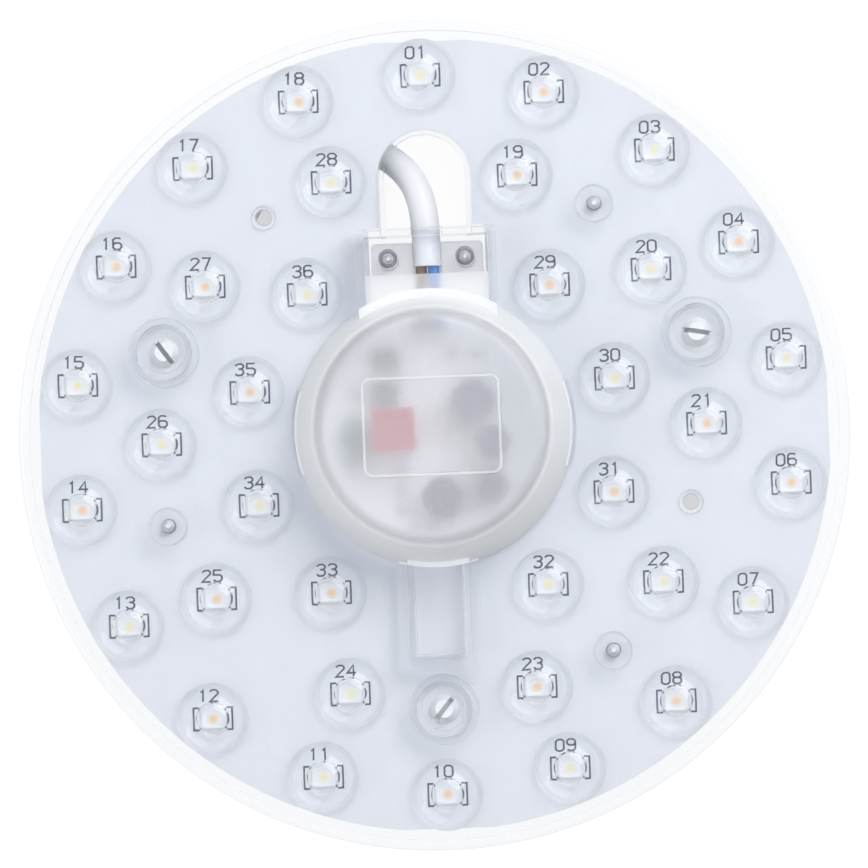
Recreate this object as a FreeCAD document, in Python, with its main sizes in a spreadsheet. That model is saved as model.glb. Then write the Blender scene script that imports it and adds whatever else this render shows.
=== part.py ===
"""Magnetic LED ceiling module: a round light panel that snaps to a steel lamp pan by three magnets.

A clear lens plate with 36 dome lenses covers a white LED board. The frosted dome in the middle
covers the driver. The module lies on its back, on its magnets, with the light face up: +Z points
from the magnets through the board to the lenses, and the origin is the middle of the magnets'
plane. Millimetres and degrees.
"""

import FreeCAD, Part
import math
import os
import re

import Sketcher
from FreeCAD import Placement, Rotation, Vector

doc = FreeCAD.newDocument("led_module")

# Driving dimensions: name, value, what it is
SIZES = (
    ("plate_radius", 77.0, "outer radius of the lens plate"),
    ("skirt_wall", 1.9, "thickness of the plate's skirt"),
    ("skirt_depth", 2.2, "how far the skirt reaches below the plate's underside"),
    ("plate_wall", 1.6, "thickness of the plate between the lenses"),
    ("rim_round", 1.0, "rounding of the plate's outer edge"),
    ("plate_gap", 0.6, "air between the board and the plate"),
    ("board_air", 1.6, "air between the board's edge and the skirt"),
    ("flat_depth", 0.5, "how far the board's four flats lie inside its round edge"),
    ("board_thickness", 1.0, "thickness of the LED board"),
    ("foot_height", 10.0, "height of the board's back above the magnets' faces"),
    ("hole_clearance", 0.2, "radial air round what passes through the board"),
    ("cut_margin", 0.6, "air between the board's cut-out and the walls of the plate"),
    ("lens_radius", 6.7, "rim radius of one lens"),
    ("lens_height", 3.4, "height of one lens above the plate"),
    ("cavity_radius", 2.5, "radius of the hollow over one LED"),
    ("cavity_height", 2.0, "height of the hollow over one LED"),
    ("outer_inset", 10.3, "distance from the plate's edge to the outer lenses' middles"),
    ("outer_start", 90.0, "angle of the first outer lens"),
    ("outer_count", 18, "number of outer lenses"),
    ("middle_ring", 50.5, "ring radius of the middle lenses"),
    ("inner_ring", 35.0, "ring radius of the inner lenses"),
    ("arc_step", 35.0, "angle between neighbours in the middle and inner rings"),
    ("middle_start", -70.0, "angle of the first middle lens of the right half"),
    ("middle_count", 5, "middle lenses in each half"),
    ("inner_start", -55.0, "angle of the first inner lens of the right half"),
    ("inner_count", 4, "inner lenses in each half"),
    ("led_length", 3.5, "length of one LED package"),
    ("led_width", 2.8, "width of one LED package"),
    ("led_height", 0.7, "height of one LED package"),
    ("dome_shift", 0.9, "how far the driver dome stands off the middle, towards the terminal box"),
    ("dome_base", 25.75, "base radius of the driver dome"),
    ("dome_top", 21.9, "top radius of the driver dome before its rounding"),
    ("dome_height", 13.2, "height of the driver dome above the plate"),
    ("dome_round", 2.6, "rounding of the dome's upper edge"),
    ("dome_wall", 1.5, "wall of the driver dome"),
    ("rib_reach", 0.6, "how far the two side ribs stand out of the dome's foot"),
    ("rib_height", 5.0, "height of the side ribs"),
    ("rib_angle", 36.0, "angle that one side rib spans"),
    ("frame_length", 25.5, "length of the raised frame on the dome"),
    ("frame_width", 18.3, "width of the raised frame on the dome"),
    ("frame_line", 0.5, "width of the frame's line"),
    ("frame_rise", 0.25, "height of the frame's line"),
    ("frame_corner", 1.7, "corner radius of the frame"),
    ("box_half", 12.8, "half width of the terminal box"),
    ("box_end", 38.0, "distance from the middle to the terminal box's end"),
    ("box_height", 5.6, "height of the terminal box above the plate"),
    ("box_wall", 1.4, "wall of the terminal box"),
    ("slot_half", 7.5, "half width of the cable slot"),
    ("slot_end", 55.6, "distance from the middle to the crown of the cable slot"),
    ("slot_wall", 0.9, "wall round the cable slot"),
    ("tongue_half", 7.4, "half width of the tongue below the dome"),
    ("tongue_end", 43.7, "distance from the middle to the tongue's end"),
    ("tongue_height", 1.6, "height of the tongue above the plate"),
    ("tongue_step", 1.7, "step in of the tongue's upper storey"),
    ("tongue_rise", 1.8, "height of the tongue's upper storey"),
    ("tongue_wall", 1.2, "wall of the tongue"),
    ("foot_inset", 24.8, "distance from the plate's edge to the upper feet's middles"),
    ("low_foot_inset", 26.1, "distance from the plate's edge to the lowest foot's middle"),
    ("foot_angle", 19.0, "angle of the upper magnet feet above the X axis"),
    ("foot_radius", 7.5, "radius of a magnet foot's cup"),
    ("foot_cup", 5.4, "height of a magnet foot's cup"),
    ("foot_neck", 5.0, "radius of a magnet foot's neck"),
    ("magnet_radius", 6.0, "radius of a magnet"),
    ("magnet_height", 3.0, "thickness of a magnet"),
    ("magnet_stand", 0.3, "how far a magnet stands out of its cup"),
    ("magnet_air", 0.05, "air round a magnet in its cup"),
    ("magnet_bevel", 0.3, "bevel of a magnet's lower edge"),
    ("peg_radius", 2.1, "radius of the split peg on a magnet foot"),
    ("peg_head", 2.75, "largest radius of the peg's snap head"),
    ("peg_top", 2.5, "height of the snap head above the board"),
    ("peg_split", 0.9, "width of the slit in the peg"),
    ("pocket_radius", 6.5, "outer radius of the pocket over a peg"),
    ("pocket_wall", 1.3, "wall of the pocket over a peg"),
    ("pocket_rise", 1.9, "height of that pocket above the plate"),
    ("button_radius", 4.0, "radius of the raised button on that pocket"),
    ("button_rise", 0.5, "height of that button"),
    ("seat_air", 0.1, "air between the plate's standing parts and what they stop on"),
    ("boss_radius", 3.45, "outer radius of a screw boss"),
    ("boss_rise", 1.6, "height of a screw boss above the plate"),
    ("boss_inset", 25.0, "distance from the plate's edge to the screw bosses' middles"),
    ("screw_radius", 1.2, "shank radius of a board screw"),
    ("screw_length", 4.0, "length of a board screw under its head"),
    ("screw_head", 2.3, "head radius of a board screw"),
    ("screw_head_height", 1.5, "head height of a board screw"),
    ("thread_air", 0.05, "radial air round a screw in its boss"),
    ("post_radius", 2.2, "radius of a locating post"),
    ("post_pin", 1.4, "radius of the pin on a locating post"),
    ("film_air", 1.35, "air between the insulating film and the dome's wall"),
    ("film_thickness", 0.3, "thickness of the insulating film"),
    ("driver_air", 1.95, "air between the driver board and the dome's wall"),
    ("driver_thickness", 1.2, "thickness of the driver board"),
    ("driver_flat_depth", 1.6, "how far the driver board's flat edge lies inside its round edge"),
    ("cord_diameter", 5.3, "diameter of the cord's sheath"),
    ("cord_height", 12.6, "height of the cord's middle in the terminal box"),
    ("core_diameter", 2.1, "diameter of one insulated core"),
    ("core_spread", 1.15, "distance of a core's middle from the cord's middle"),
    ("clamp_half", 10.4, "half length of the cord clamp"),
    ("clamp_width", 6.3, "width of the cord clamp"),
    ("clamp_thickness", 3.4, "thickness of the cord clamp"),
    ("clamp_floor", 1.4, "thickness of the clamp under the cord"),
    ("clamp_air", 0.1, "air between the cord and its clamp"),
    ("clamp_place", 32.4, "distance from the middle to the cord clamp's middle"),
    ("clamp_screw_place", 7.1, "distance of a clamp screw from the cord's middle"),
    ("clamp_boss", 1.75, "radius of a clamp screw's boss"),
    ("clamp_screw", 0.95, "shank radius of a clamp screw"),
    ("clamp_screw_head", 1.75, "head radius of a clamp screw"),
    ("clamp_screw_sink", 1.3, "depth of a clamp screw's head in the clamp"),
    ("clamp_screw_length", 6.6, "length of a clamp screw under its head"),
    ("sheath_start", 31.0, "distance from the middle to the sheath's end in the box"),
    ("pin_pitch", 2.54, "pitch of the pins between the two boards"),
    ("pin_inset", 2.8, "distance from the driver board's edge to the row of pins"),
    ("pin_radius", 0.4, "radius of one pin"),
    ("pin_rise", 1.0, "height of a pin above the driver board"),
    ("red_side", 8.0, "side of the red film capacitor"),
    ("red_height", 10.6, "height of the red film capacitor"),
    ("can_radius", 4.0, "radius of the large electrolytic capacitor"),
    ("small_can_radius", 3.15, "radius of the small electrolytic capacitor"),
    ("can_height", 7.6, "height of an electrolytic capacitor"),
    ("can_crimp_place", 1.7, "height of a can's crimp"),
    ("can_crimp_half", 0.5, "half width of a can's crimp"),
    ("can_crimp_depth", 0.35, "depth of a can's crimp"),
    ("can_bevel", 0.4, "bevel of a can's upper edge"),
    ("choke_radius", 4.0, "radius of the large choke's flanges"),
    ("choke_height", 6.5, "height of the large choke"),
    ("filter_radius", 3.0, "radius of the small choke's flanges"),
    ("filter_height", 5.0, "height of the small choke"),
    ("flange", 1.0, "thickness of a choke's flange"),
    ("winding_step", 0.7, "how far a choke's winding lies inside its flanges"),
    ("rectifier_length", 4.7, "length of the bridge rectifier"),
    ("rectifier_width", 4.0, "width of the bridge rectifier"),
    ("rectifier_height", 2.4, "height of the bridge rectifier"),
    ("chip_length", 5.0, "length of the driver chip"),
    ("chip_width", 4.0, "width of the driver chip"),
    ("chip_height", 1.5, "height of the driver chip"),
    ("fuse_radius", 1.7, "radius of the fuse resistor"),
    ("fuse_length", 7.0, "length of the fuse resistor's body"),
    ("fuse_lead", 0.35, "radius of the fuse resistor's leads"),
    ("resistor_length", 2.0, "length of a chip resistor"),
    ("resistor_width", 1.2, "width of a chip resistor"),
    ("resistor_height", 0.5, "height of a chip resistor"),
    ("bare_end", 6.0, "length of a tinned conductor end"),
    ("conductor_radius", 0.5, "radius of a core's conductor"),
    ("stub_length", 1.5, "bare length of a core at its pad"),
    ("joint_radius", 1.3, "foot radius of a solder joint"),
)

# The sheet holds every size as text beside its meaning, under an alias
sizes = doc.addObject("Spreadsheet::Sheet", "Sizes")
for row, (name, value, meaning) in enumerate(SIZES, start=1):
    sizes.set(f"A{row}", meaning)
    sizes.set(f"B{row}", str(value))
    sizes.setAlias(f"B{row}", name)
doc.recompute()
NAMES = {name for name, value, meaning in SIZES}


def cell(word):
    """A word of a formula: a size gets the sheet's name before it, and anything else stays."""
    name = word.group()
    return "Sizes." + name if name in NAMES else name


def bound(text):
    """A formula of size names, written with the sheet's name before each of them."""
    return re.sub(r"[a-z_]+", cell, text)


def size(text):
    """What a formula of size names comes to, as a number."""
    return float(sizes.evalExpression(bound(text)))


# Heights that several pieces share, from the magnets' faces up
BOARD_TOP = "foot_height + board_thickness"
SEAT = BOARD_TOP + " + seat_air"
PLATE_UNDER = BOARD_TOP + " + plate_gap"
PLATE_TOP = PLATE_UNDER + " + plate_wall"
DOME_TOP = PLATE_TOP + " + dome_height"
DRIVER_UNDER = BOARD_TOP + " + film_thickness"
DRIVER_TOP = DRIVER_UNDER + " + driver_thickness"
BOX_ROOF = PLATE_TOP + " + box_height - box_wall"
CLAMP_UNDER = "cord_height - cord_diameter / 2 - clamp_floor"

# Radii that follow the plate's edge or the driver dome's wall
BOARD_RADIUS = "(plate_radius - skirt_wall - board_air)"
OUTER_RING = "(plate_radius - outer_inset)"
BOSS_RING = "(plate_radius - boss_inset)"
FILM_RADIUS = "(dome_base - dome_wall - film_air)"
DRIVER_RADIUS = "(dome_base - dome_wall - driver_air)"
PIN_ROW = "dome_shift - " + DRIVER_RADIUS + " + pin_inset"

# Where the magnet feet, the board screws and the locating posts stand: ring radius and angle
FEET = (
    ("plate_radius - foot_inset", "180 - foot_angle", 35.0),
    ("plate_radius - foot_inset", "foot_angle", 80.0),
    ("plate_radius - low_foot_inset", "-90", -40.0),
)
SCREW_ANGLES = (53.0, 197.0, -52.5)
POSTS = ((51.1, 126.0), (49.2, -17.0))

# Where the driver's components stand: x and y
RED_PLACE = (-7.2, 0.6)
CAN_PLACES = (
    ("bulk_capacitor", 7.6, 5.6, "can_radius"),
    ("output_capacitor", 11.0, -2.2, "small_can_radius"),
)
CHOKE_PLACE = (1.4, -12.2)
FILTER_PLACE = (10.4, -10.3)
RECTIFIER_PLACE = (-8.6, 7.8)
CHIP_PLACE = (-8.4, 14.0)
FUSE_PLACE = (-15.0, -0.8)
RESISTOR_PLACES = ((4.0, 14.8), (8.5, 14.2), (-14.2, 8.0), (-6.2, -7.4), (-6.2, -10.6), (-6.2, -13.8))

# The cord's route from its end in the terminal box: through the slot, under the board, round a loop
CORD_ROUTE = (
    (0.0, 31.0, 12.6),
    (0.0, 37.8, 12.6),
    (-0.6, 43.1, 11.1),
    (-2.2, 47.4, 8.6),
    (-5.0, 50.9, 6.0),
    (-9.3, 53.7, 4.1),
    (-15.1, 55.1, 3.1),
    (-22.0, 54.1, 2.7),
    (-29.1, 49.9, 2.7),
    (-34.6, 42.7, 2.7),
    (-37.3, 33.6, 2.7),
    (-36.6, 24.1, 2.7),
    (-32.4, 15.2, 2.7),
    (-25.2, 8.2, 2.7),
    (-15.7, 4.0, 2.7),
    (-5.5, 3.4, 2.7),
    (3.8, 6.4, 2.7),
    (11.4, 12.8, 2.7),
    (16.2, 21.4, 2.7),
)
# The two cores inside the box, from the sheath's end to their pads: the brown one's route
CORE_ROUTE = (
    (-1.15, 31.0, 12.6),
    (-1.15, 28.8, 12.6),
    (-1.3, 25.6, 13.1),
    (-1.6, 22.4, 13.8),
    (-1.8, 19.6, 13.9),
)
# One bare core past the sheath's far end: ahead, aside and height
END_ROUTE = (
    (0.0, 1.15, 2.7),
    (2.6, 1.15, 2.7),
    (7.0, 1.6, 2.1),
    (12.4, 2.6, 1.3),
    (18.0, 3.2, 1.15),
)

subparts = []


def start_body(name):
    """A new body for one sub-part, whose label names its file."""
    body = doc.addObject("PartDesign::Body", name)
    body.Label = name
    subparts.append(body)
    return body


def origin_part(body, role):
    """One of the body's own origin planes or axes."""
    return next(item for item in body.Origin.OriginFeatures if item.Role == role)


def new_sketch(body, name, plane="XY_Plane", height=None, turn=None):
    """A sketch on one of the body's origin planes, raised by a formula or turned about +Z."""
    sketch = body.newObject("Sketcher::SketchObject", name)
    sketch.AttachmentSupport = [(origin_part(body, plane), "")]
    sketch.MapMode = "FlatFace"
    if height:
        sketch.setExpression("AttachmentOffset.Base.z", bound(height))
    if turn:
        sketch.AttachmentOffset = Placement(Vector(), Rotation(Vector(0, 1, 0), size(turn)))
        sketch.setExpression("AttachmentOffset.Rotation.Angle", bound(turn))
    return sketch


def pin_point(sketch, geometry, position, x, y):
    """Hold a sketch point at two formulas, measured from the sketch's origin."""
    for kind, formula in (("DistanceX", x), ("DistanceY", y)):
        index = sketch.addConstraint(Sketcher.Constraint(kind, -1, 1, geometry, position, size(formula)))
        sketch.setExpression(f"Constraints[{index}]", bound(formula))


def add_circle(sketch, x, y, radius):
    """A circle whose middle and radius follow formulas."""
    middle = Vector(size(x), size(y), 0)
    circle = sketch.addGeometry(Part.Circle(middle, Vector(0, 0, 1), size(radius)))
    pin_point(sketch, circle, 3, x, y)
    index = sketch.addConstraint(Sketcher.Constraint("Radius", circle, size(radius)))
    sketch.setExpression(f"Constraints[{index}]", bound(radius))


def add_outline(sketch, corners):
    """A closed outline of straight edges. A corner is x, y and, where it is rounded, a radius.

    A rounded corner is an arc that meets both edges tangentially, and a point keeps the corner.
    """
    count = len(corners)
    places = [Vector(size(corner[0]), size(corner[1]), 0) for corner in corners]
    starts, ends, arcs = list(places), list(places), {}
    for i, corner in enumerate(corners):
        if len(corner) == 3:
            back = (places[i - 1] - places[i]).normalize()
            ahead = (places[(i + 1) % count] - places[i]).normalize()
            half = back.getAngle(ahead) / 2
            reach = size(corner[2]) / math.tan(half)
            middle = places[i] + (back + ahead).normalize() * (size(corner[2]) / math.sin(half))
            nearest = middle + (places[i] - middle).normalize() * size(corner[2])
            ends[i] = places[i] + back * reach
            starts[i] = places[i] + ahead * reach
            arcs[i] = Part.Arc(ends[i], nearest, starts[i])
    lines = []
    for i in range(count):
        lines.append(sketch.addGeometry(Part.LineSegment(starts[i], ends[(i + 1) % count])))
    for i, corner in enumerate(corners):
        line_in, line_out = lines[i - 1], lines[i]
        if i in arcs:
            arc = sketch.addGeometry(arcs[i])
            begins, finishes = (1, 2)
            if (sketch.Geometry[arc].StartPoint - ends[i]).Length > 1e-6:
                begins, finishes = (2, 1)
            sketch.addConstraint(Sketcher.Constraint("Tangent", line_in, 2, arc, begins))
            sketch.addConstraint(Sketcher.Constraint("Tangent", arc, finishes, line_out, 1))
            index = sketch.addConstraint(Sketcher.Constraint("Radius", arc, size(corner[2])))
            sketch.setExpression(f"Constraints[{index}]", bound(corner[2]))
            point = sketch.addGeometry(Part.Point(places[i]), True)
            sketch.addConstraint(Sketcher.Constraint("PointOnObject", point, 1, line_in))
            sketch.addConstraint(Sketcher.Constraint("PointOnObject", point, 1, line_out))
            pin_point(sketch, point, 1, corner[0], corner[1])
        else:
            sketch.addConstraint(Sketcher.Constraint("Coincident", line_in, 2, line_out, 1))
            pin_point(sketch, line_out, 1, corner[0], corner[1])


def add_box(sketch, left, right, low, high, corner=None):
    """A rectangle between formulas, with rounded corners where a radius is given."""
    places = ((left, low), (right, low), (right, high), (left, high))
    add_outline(sketch, [place + (corner,) if corner else place for place in places])


def pad(body, sketch, length, name):
    """Add material upwards from the sketch."""
    feature = body.newObject("PartDesign::Pad", name)
    feature.Profile = sketch
    feature.setExpression("Length", bound(length))
    return feature


def pocket(body, sketch, length, name):
    """Cut material upwards from the sketch."""
    feature = body.newObject("PartDesign::Pocket", name)
    feature.Profile = sketch
    feature.Reversed = True
    feature.setExpression("Length", bound(length))
    return feature


def revolve(body, sketch, name, axis="V_Axis", kind="Revolution"):
    """Turn the sketch about its upright axis, to add material or, as a Groove, to cut it."""
    feature = body.newObject("PartDesign::" + kind, name)
    feature.Profile = sketch
    feature.ReferenceAxis = (sketch, [axis])
    feature.Angle = 360
    return feature


def ring_pattern(body, originals, angle, count, name):
    """Repeat features about +Z over an angle, the first and the last included."""
    pattern = body.newObject("PartDesign::PolarPattern", name)
    pattern.Originals = originals
    pattern.Axis = (origin_part(body, "Z_Axis"), [""])
    pattern.setExpression("Angle", bound(angle))
    pattern.setExpression("Occurrences", bound(count))
    body.Tip = pattern
    return pattern


def on_ring(radius, angle):
    """The x and y formulas of a place on a ring."""
    return f"({radius}) * cos(({angle}) * 1 deg)", f"({radius}) * sin(({angle}) * 1 deg)"


def lens_places():
    """Every lens as ring radius and angle, counted clockwise from the top in each ring."""
    count = int(size("outer_count"))
    outer = [(size(OUTER_RING), size("outer_start") - 360 / count * i) for i in range(count)]
    rings = [outer]
    for ring, start, number in (
        ("middle_ring", "middle_start", "middle_count"),
        ("inner_ring", "inner_start", "inner_count"),
    ):
        right = [size(start) + size("arc_step") * i for i in reversed(range(int(size(number))))]
        left = [180 - angle for angle in reversed(right)]
        rings.append([(size(ring), angle) for angle in right + left])
    return rings


def make_shape(name, shape):
    """A sub-part whose shape is worked out from the sheet with Part's own functions."""
    feature = doc.addObject("Part::Feature", name)
    feature.Label = name
    feature.Shape = shape
    feature.Placement = Placement()
    subparts.append(feature)
    return feature


def turned(points):
    """A solid of revolution about Z from points of radius and height."""
    corners = [Vector(radius, 0, height) for radius, height in points]
    face = Part.Face(Part.makePolygon(corners + corners[:1]))
    return face.revolve(Vector(), Vector(0, 0, 1), 360)


# Lens plate, one clear moulding
def add_lens(body, name, ring, turn):
    """One dome lens on a ring: a spherical cap on the plate."""
    dome = new_sketch(body, name + "_dome_outline", "XZ_Plane", turn=turn)
    axis = dome.addGeometry(Part.LineSegment(Vector(size(ring), 0, 0), Vector(size(ring), 1, 0)), True)
    pin_point(dome, axis, 1, ring, "0")
    pin_point(dome, axis, 2, ring, "1")
    low, top = size(PLATE_UNDER), size(PLATE_TOP)
    middle, rim = size(ring), size(ring + " + lens_radius")
    half, rise = size("lens_radius / 2"), size("lens_height")
    apex = top + rise
    curve = (4 * half**2 + rise**2) / (2 * rise)
    slope = Vector(middle + half, apex - curve + math.sqrt(curve**2 - half**2), 0)
    foot = dome.addGeometry(Part.LineSegment(Vector(middle, low, 0), Vector(rim, low, 0)))
    side = dome.addGeometry(Part.LineSegment(Vector(rim, low, 0), Vector(rim, top, 0)))
    crown = dome.addGeometry(Part.Arc(Vector(rim, top, 0), slope, Vector(middle, apex, 0)))
    core = dome.addGeometry(Part.LineSegment(Vector(middle, apex, 0), Vector(middle, low, 0)))
    crown_rim, crown_top = (1, 2)
    if dome.Geometry[crown].StartPoint.x < middle + 1e-6:
        crown_rim, crown_top = (2, 1)
    dome.addConstraint(Sketcher.Constraint("Coincident", foot, 2, side, 1))
    dome.addConstraint(Sketcher.Constraint("Coincident", side, 2, crown, crown_rim))
    dome.addConstraint(Sketcher.Constraint("Coincident", crown, crown_top, core, 1))
    dome.addConstraint(Sketcher.Constraint("Coincident", core, 2, foot, 1))
    dome.addConstraint(Sketcher.Constraint("PointOnObject", crown, 3, axis))
    pin_point(dome, foot, 1, ring, PLATE_UNDER)
    pin_point(dome, side, 1, ring + " + lens_radius", PLATE_UNDER)
    pin_point(dome, side, 2, ring + " + lens_radius", PLATE_TOP)
    pin_point(dome, core, 1, ring, PLATE_TOP + " + lens_height")
    return revolve(body, dome, name + "_dome", "Axis0")


def add_hollow(body, name, ring, turn):
    """The round hollow that a lens holds over its LED, open from the board up."""
    outline = new_sketch(body, name + "_hollow_outline", "XZ_Plane", turn=turn)
    axis = outline.addGeometry(Part.LineSegment(Vector(size(ring), 0, 0), Vector(size(ring), 1, 0)), True)
    pin_point(outline, axis, 1, ring, "0")
    pin_point(outline, axis, 2, ring, "1")
    add_box(outline, ring, ring + " + cavity_radius", BOARD_TOP, PLATE_UNDER + " + cavity_height")
    return revolve(body, outline, name + "_hollow", "Axis0", "Groove")


def lens_rows():
    """Each row of lenses: its name, ring radius, first angle, the angle that it spans and its count."""
    rows = [("outer", OUTER_RING, "outer_start", "360", "outer_count")]
    for ring in ("middle", "inner"):
        spread = f"arc_step * ({ring}_count - 1)"
        radius, right, left = ring + "_ring", ring + "_start", f"180 - {ring}_start - {spread}"
        rows.append((ring + "_right", radius, right, spread, ring + "_count"))
        rows.append((ring + "_left", radius, left, spread, ring + "_count"))
    return rows


def add_round(body, profile, name, kind="Revolution"):
    """Turn a profile of radius and height about the driver dome's own axis."""
    outline = new_sketch(body, name + "_outline", "XZ_Plane", height="-dome_shift")
    add_outline(outline, profile)
    return revolve(body, outline, name, kind=kind)


def make_lens_plate():
    """Plate, skirt, driver dome, terminal box, tongue, slot, pockets, bosses and lenses in one."""
    body = start_body("lens_plate")
    outer = new_sketch(body, "plate_outline", "XZ_Plane")
    inner_wall = "plate_radius - skirt_wall"
    skirt_low = PLATE_UNDER + " - skirt_depth"
    add_outline(outer, [
        ("0", PLATE_UNDER),
        (inner_wall, PLATE_UNDER),
        (inner_wall, skirt_low),
        ("plate_radius", skirt_low),
        ("plate_radius", PLATE_TOP, "rim_round"),
        ("0", PLATE_TOP),
    ])
    revolve(body, outer, "plate")

    add_round(body, [
        ("0", PLATE_UNDER),
        ("dome_base", PLATE_UNDER),
        ("dome_base", PLATE_TOP),
        ("dome_top", DOME_TOP, "dome_round"),
        ("0", DOME_TOP),
    ], "driver_dome")
    for side, sign in (("right", ""), ("left", "-")):
        rib = add_round(body, [
            (sign + "dome_top", PLATE_UNDER),
            (sign + "(dome_base + rib_reach)", PLATE_UNDER),
            (sign + "(dome_base + rib_reach)", PLATE_TOP + " + rib_reach"),
            (sign + "dome_top", PLATE_TOP + " + rib_height"),
        ], side + "_rib")
        rib.setExpression("Angle", bound("rib_angle"))
        rib.Midplane = True

    frame = new_sketch(body, "label_frame_outline", height=DOME_TOP)
    half_length, half_width = "frame_length / 2", "frame_width / 2"
    low, high = "dome_shift - " + half_width, "dome_shift + " + half_width
    add_box(frame, "-" + half_length, half_length, low, high, "frame_corner")
    inner_length = "(frame_length / 2 - frame_line)"
    add_box(frame, "-" + inner_length, inner_length, low + " + frame_line", high + " - frame_line",
            "frame_corner - frame_line")
    pad(body, frame, "frame_rise", "label_frame")

    box = new_sketch(body, "terminal_box_outline", height=PLATE_UNDER)
    add_box(box, "-box_half", "box_half", "dome_top / 2", "box_end")
    pad(body, box, "plate_wall + box_height", "terminal_box")

    tongue = new_sketch(body, "tongue_outline", height=PLATE_UNDER)
    add_box(tongue, "-tongue_half", "tongue_half", "-tongue_end", "-dome_top / 2", "tongue_step")
    pad(body, tongue, "plate_wall + tongue_height", "tongue")
    storey = new_sketch(body, "tongue_storey_outline", height=PLATE_UNDER)
    storey_half, storey_end = "(tongue_half - tongue_step)", "(tongue_end - tongue_step)"
    add_box(storey, "-" + storey_half, storey_half, "-" + storey_end, "-dome_top / 2")
    pad(body, storey, "plate_wall + tongue_height + tongue_rise", "tongue_storey")

    collar = new_sketch(body, "slot_collar_outline", height="foot_height")
    add_slot(collar, "slot_half + slot_wall", "box_end - box_wall")
    pad(body, collar, "board_thickness + plate_gap + plate_wall / 2", "slot_collar")

    for number, (ring, angle, turn) in enumerate(FEET, start=1):
        over = new_sketch(body, f"peg_pocket_outline_{number}", height=SEAT)
        add_circle(over, *on_ring(ring, angle), "pocket_radius")
        pad(body, over, "plate_gap - seat_air + plate_wall + pocket_rise", f"peg_pocket_{number}")
        button = new_sketch(body, f"button_outline_{number}", height=PLATE_TOP)
        add_circle(button, *on_ring(ring, angle), "button_radius")
        pad(body, button, "pocket_rise + button_rise", f"button_{number}")
    bosses = new_sketch(body, "screw_boss_outline", height=SEAT)
    for angle in SCREW_ANGLES:
        add_circle(bosses, *on_ring(BOSS_RING, angle), "boss_radius")
    pad(body, bosses, "plate_gap - seat_air + plate_wall + boss_rise", "screw_bosses")
    posts = new_sketch(body, "post_outline", height=SEAT)
    pins = new_sketch(body, "post_pin_outline", height="foot_height")
    for ring, angle in POSTS:
        add_circle(posts, *on_ring(ring, angle), "post_radius")
        add_circle(pins, *on_ring(ring, angle), "post_pin")
    pad(body, posts, "plate_gap - seat_air + plate_wall / 2", "posts")
    pad(body, pins, "board_thickness + plate_gap", "post_pins")

    for name, ring, start, spread, count in lens_rows():
        lens = add_lens(body, name, ring, start)
        ring_pattern(body, [lens], spread, count, name + "_domes")

    add_round(body, [
        ("0", PLATE_UNDER),
        ("dome_base - dome_wall", PLATE_UNDER),
        ("dome_top - dome_wall", DOME_TOP + " - dome_wall", "dome_round - dome_wall / 2"),
        ("0", DOME_TOP + " - dome_wall"),
    ], "dome_cavity", "Groove")

    room = new_sketch(body, "box_cavity_outline", height=PLATE_UNDER)
    box_inner = "(box_half - box_wall)"
    add_box(room, "-" + box_inner, box_inner, "dome_top / 2", "box_end - box_wall")
    pocket(body, room, "plate_wall + box_height - box_wall", "box_cavity")
    under = new_sketch(body, "tongue_cavity_outline", height=PLATE_UNDER)
    hollow_half = "(tongue_half - tongue_step - tongue_wall)"
    hollow_end = "(tongue_end - tongue_step - tongue_wall)"
    add_box(under, "-" + hollow_half, hollow_half, "-" + hollow_end, "-dome_top / 2")
    pocket(body, under, "plate_wall + tongue_height + tongue_rise - tongue_wall", "tongue_cavity")

    slot = new_sketch(body, "slot_outline", height="foot_height - skirt_depth")
    add_slot(slot, "slot_half", "box_end")
    pocket(body, slot, "skirt_depth + board_thickness + plate_gap + plate_wall + box_height", "cable_slot")
    mouth = new_sketch(body, "cord_mouth_outline", height="foot_height")
    mouth_half = "(cord_diameter / 2 + 3 * clamp_air)"
    add_box(mouth, "-" + mouth_half, mouth_half, "box_end - 2 * box_wall", "box_end + box_wall")
    pocket(body, mouth, "cord_height + cord_diameter / 2 + clamp_air - foot_height", "cord_mouth")

    for number, (ring, angle, turn) in enumerate(FEET, start=1):
        well = new_sketch(body, f"peg_well_outline_{number}", height=BOARD_TOP)
        add_circle(well, *on_ring(ring, angle), "pocket_radius - pocket_wall")
        pocket(body, well, "plate_gap + plate_wall + pocket_rise - pocket_wall", f"peg_well_{number}")
    bores = new_sketch(body, "screw_bore_outline", height=BOARD_TOP)
    for angle in SCREW_ANGLES:
        add_circle(bores, *on_ring(BOSS_RING, angle), "screw_radius + thread_air")
    pocket(body, bores, "plate_wall + boss_rise", "screw_bores")

    clamp_top = CLAMP_UNDER + " + clamp_thickness + seat_air"
    hang = new_sketch(body, "clamp_boss_outline", height=clamp_top)
    hold = new_sketch(body, "clamp_bore_outline", height=clamp_top)
    for side in ("-clamp_screw_place", "clamp_screw_place"):
        add_circle(hang, side, "clamp_place", "clamp_boss")
        add_circle(hold, side, "clamp_place", "clamp_screw + thread_air")
    boss_length = f"{BOX_ROOF} - ({clamp_top})"
    pad(body, hang, boss_length + " + box_wall / 2", "clamp_bosses")
    pocket(body, hold, boss_length, "clamp_bores")

    for name, ring, start, spread, count in lens_rows():
        hollow = add_hollow(body, name, ring, start)
        ring_pattern(body, [hollow], spread, count, name + "_hollows")


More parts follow.
